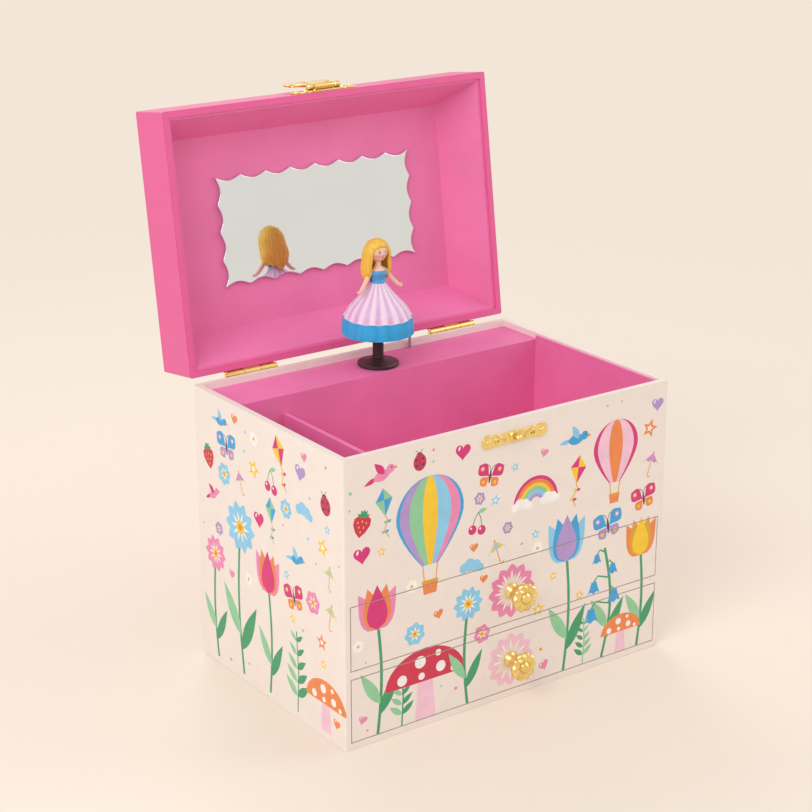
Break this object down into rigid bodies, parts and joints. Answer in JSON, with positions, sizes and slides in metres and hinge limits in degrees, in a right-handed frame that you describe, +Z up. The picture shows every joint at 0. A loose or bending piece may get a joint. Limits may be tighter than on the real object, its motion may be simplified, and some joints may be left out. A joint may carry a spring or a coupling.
{
  "type": "musical jewellery box",
  "caption": "Paper-covered musical jewellery box with a hinged mirrored lid, clasp, drawers, wind-up movement and a turning doll that folds under the lid.",
  "frame": {"origin": "middle of the underside of the base", "axes": "+X to the right seen from the front, front faces -Y, +Z up"},
  "size_m": [0.155, 0.1544, 0.2229],
  "materials": {
    "printed_paper": "printed paper over board, satin laminate",
    "lid_paper": "printed paper over board, satin laminate",
    "lining_paper": "matt dyed paper over board",
    "brass": "bright brass plate",
    "steel": "plain steel",
    "movement_metal": "zinc-plated steel",
    "mirror_sheet": "mirrored acrylic",
    "dark_plastic": "moulded, satin",
    "dark_rubber": "soft moulded sleeve",
    "gown_paint": "painted moulding",
    "bodice_paint": "painted moulding",
    "skin_paint": "painted moulding",
    "hair_paint": "painted moulding"
  },
  "bodies": {
    "case": {"base_board": "printed_paper", "left_wall": "printed_paper", "right_wall": "printed_paper", "back_wall": "printed_paper", "front_panel": "printed_paper", "drawer_shelf": "printed_paper", "compartment_floor": "lining_paper", "bay_wall": "lining_paper", "ledge_board": "lining_paper", "partition": "lining_paper", "compartment_lining": "lining_paper", "hinge_case_leaves": "brass", "hinge_pins": "brass", "strike_plate": "brass", "case_nails": "brass", "key_escutcheon": "brass", "bedplate": "movement_metal", "comb": "steel", "movement_screws": "steel", "bearing_bracket": "movement_metal", "spindle_bush": "brass"},
    "lid": {"lid_top": "lid_paper", "lid_left_rail": "lid_paper", "lid_right_rail": "lid_paper", "lid_front_rail": "lid_paper", "lid_back_rail": "lid_paper", "lid_panel": "lining_paper", "lid_lining": "lining_paper", "mirror": "mirror_sheet", "hinge_lid_leaves": "brass", "clasp_plate": "brass", "lid_nails": "brass"},
    "clasp": {"clasp_flap": "brass"},
    "upper_drawer": {"upper_drawer_bottom": "lining_paper", "upper_drawer_box": "lining_paper", "upper_drawer_front": "printed_paper", "upper_drawer_knob": "brass", "upper_drawer_knob_screw": "steel"},
    "lower_drawer": {"lower_drawer_bottom": "lining_paper", "lower_drawer_box": "lining_paper", "lower_drawer_front": "printed_paper", "lower_drawer_knob": "brass", "lower_drawer_knob_screw": "steel"},
    "key": {"winding_key": "brass", "winding_arbor": "steel"},
    "barrel": {"spring_barrel": "movement_metal", "mainspring": "steel"},
    "drum": {"music_drum": "brass", "drum_spindle": "steel", "turntable": "dark_plastic"},
    "governor": {"governor": "brass"},
    "mast": {"flexible_stem": "dark_rubber", "doll_peg": "dark_plastic"},
    "doll": {"doll_gown": "gown_paint", "doll_bodice": "bodice_paint", "doll_head": "skin_paint", "doll_arms": "skin_paint", "doll_hair": "hair_paint"},
    "stop": {"stop_pin": "steel"}
  },
  "joints": [
    {"name": "lid_hinge", "type": "hinge", "parent": "case", "child": "lid", "pos_m": [0, 0.0538, 0.1155], "axis": [-1, 0, 0], "range_deg": [-98, 0]},
    {"name": "clasp_hinge", "type": "hinge", "parent": "lid", "child": "clasp", "pos_m": [0, 0.07512, 0.22157], "axis": [-1, 0, 0], "range_deg": [-176, 0]},
    {"name": "upper_drawer_slide", "type": "slide", "parent": "case", "child": "upper_drawer", "axis": [0, -1, 0], "range_m": [0, 0.065]},
    {"name": "lower_drawer_slide", "type": "slide", "parent": "case", "child": "lower_drawer", "axis": [0, -1, 0], "range_m": [0, 0.065]},
    {"name": "key_wind", "type": "hinge", "parent": "case", "child": "key", "pos_m": [0, 0.052, 0.0747], "axis": [0, 1, 0], "range_deg": [0, 1350]},
    {"name": "drum_spin", "type": "hinge", "parent": "case", "child": "drum", "pos_m": [0, 0.037, 0.1], "axis": [0, 0, 1], "continuous": true},
    {"name": "barrel_spin", "type": "hinge", "parent": "case", "child": "barrel", "pos_m": [0, 0.045, 0.0747], "axis": [0, 1, 0], "continuous": true},
    {"name": "governor_spin", "type": "hinge", "parent": "case", "child": "governor", "pos_m": [0.008, 0.03333, 0.08], "axis": [0, 0, 1], "continuous": true},
    {"name": "doll_tilt", "type": "hinge", "parent": "case", "child": "mast", "pos_m": [0, 0.037, 0.116], "axis": [-1, 0, 0], "range_deg": [-82.01, 0], "deforming": ["flexible_stem"]},
    {"name": "doll_spin", "type": "hinge", "parent": "mast", "child": "doll", "pos_m": [0, 0.037, 0.135], "axis": [0, 0, 1], "continuous": true},
    {"name": "stop_slide", "type": "slide", "parent": "case", "child": "stop", "axis": [0, 0, 1], "range_m": [-0.00301, 0]}
  ],
  "couplings": [
    {"joint": "barrel_spin", "follows": "drum_spin", "ratio": -0.33333},
    {"joint": "governor_spin", "follows": "drum_spin", "ratio": -4.5},
    {"joint": "doll_spin", "follows": "drum_spin", "ratio": 1},
    {"joint": "doll_tilt", "follows": "lid_hinge", "ratio": 0.83674},
    {"joint": "stop_slide", "follows": "lid_hinge", "m_per_rad": 0.001754}
  ]
}
